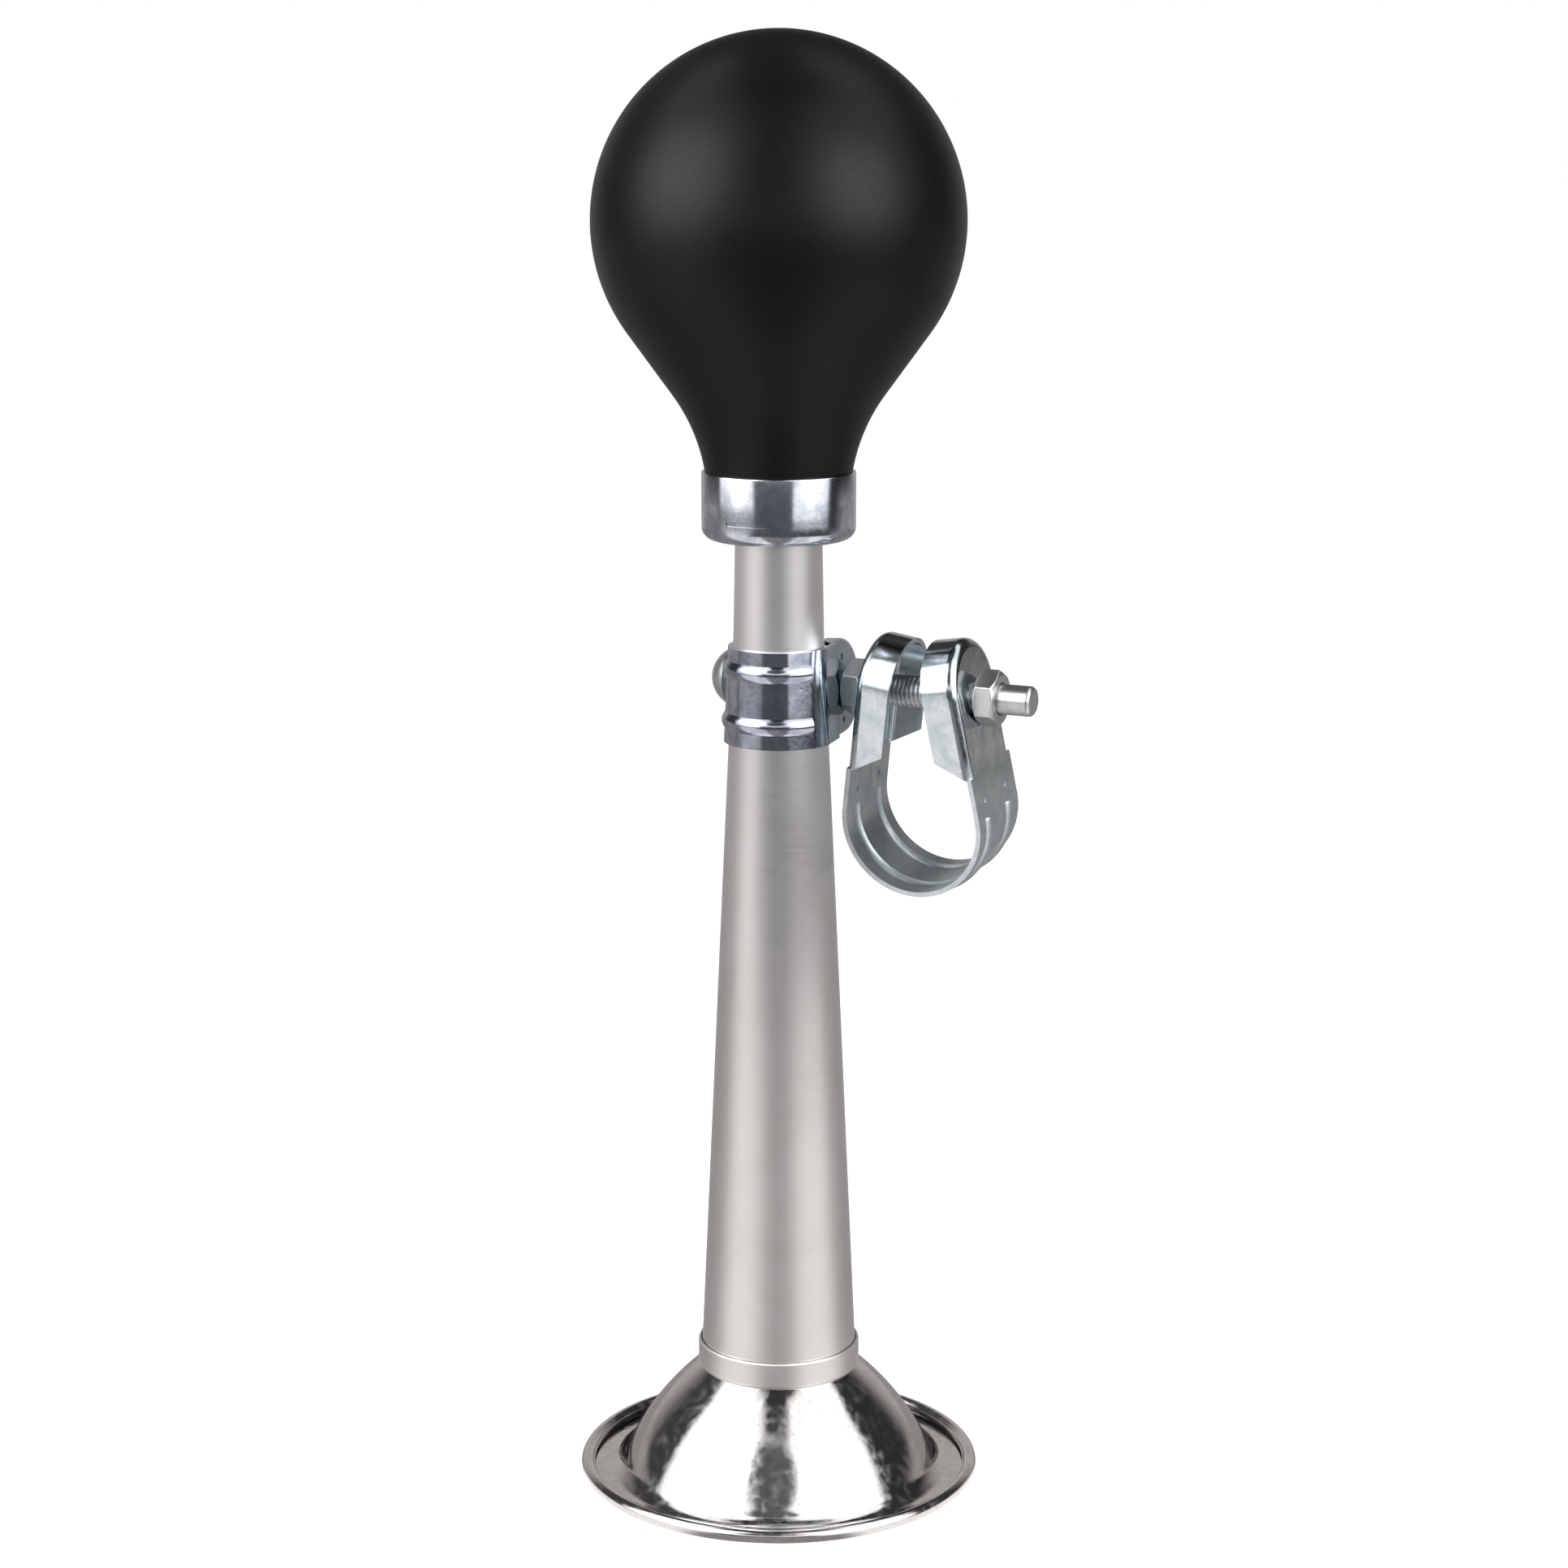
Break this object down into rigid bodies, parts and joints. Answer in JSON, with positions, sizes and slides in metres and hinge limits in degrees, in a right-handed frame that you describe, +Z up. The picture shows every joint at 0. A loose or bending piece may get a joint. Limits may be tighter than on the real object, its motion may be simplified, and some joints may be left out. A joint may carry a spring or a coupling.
{
  "type": "bicycle bulb horn",
  "caption": "Bulb horn: a flared bell on a tapered tube, a rubber bulb over a brass reed, and a bolted strap clamp that swivels, swings and opens to grip a handlebar.",
  "frame": {"origin": "centre of the bell's standing face, on the horn's axis", "axes": "+Z up the horn's axis from the bell to the bulb, +X along the clamp bolt to its free end, +Y away from the side that the tube's strap wraps"},
  "size_m": [0.0716, 0.065, 0.2317],
  "materials": {
    "bell_chrome": "bright plated",
    "tube_steel": "fine brushed, plated",
    "zinc": "bright zinc plated",
    "bulb_rubber": "matt",
    "brass": "plain"
  },
  "bodies": {
    "horn": {"bell": "bell_chrome", "joint_ring": "tube_steel", "horn_tube": "tube_steel", "bulb_collar": "zinc", "reed_socket": "brass", "reed_shallot": "brass", "reed_ring": "brass"},
    "bulb": {"bulb": "bulb_rubber"},
    "reed_tongue": {"reed_tongue": "brass"},
    "clamp": {"horn_strap": "zinc", "clamp_bolt": "zinc", "inner_nut": "zinc"},
    "handlebar_strap": {"handlebar_strap": "zinc"},
    "outer_nut": {"outer_nut": "zinc"}
  },
  "joints": [
    {"name": "clamp_swivel", "type": "hinge", "parent": "horn", "child": "clamp", "pos_m": [0, 0, 0.1294], "axis": [0, 0, 1], "continuous": true},
    {"name": "handlebar_strap_swing", "type": "hinge", "parent": "clamp", "child": "handlebar_strap", "pos_m": [0.02058, 0.01043, 0.1294], "axis": [1, 0, 0], "range_deg": [-15, 110]},
    {"name": "outer_nut_travel", "type": "slide", "parent": "clamp", "child": "outer_nut", "axis": [1, 0, 0], "range_m": [0, 0.004]},
    {"name": "bulb_squeeze", "type": "slide", "parent": "horn", "child": "bulb", "axis": [0, 0, -1], "range_m": [0, 0.012], "stiffness_N_per_m": 1500, "deforming": ["bulb"]},
    {"name": "reed_beat", "type": "hinge", "parent": "horn", "child": "reed_tongue", "pos_m": [0, 0.00226, 0.16523], "axis": [1, 0, 0], "range_deg": [-0.4, 1.5], "stiffness_Nm_per_rad": 0.02}
  ]
}
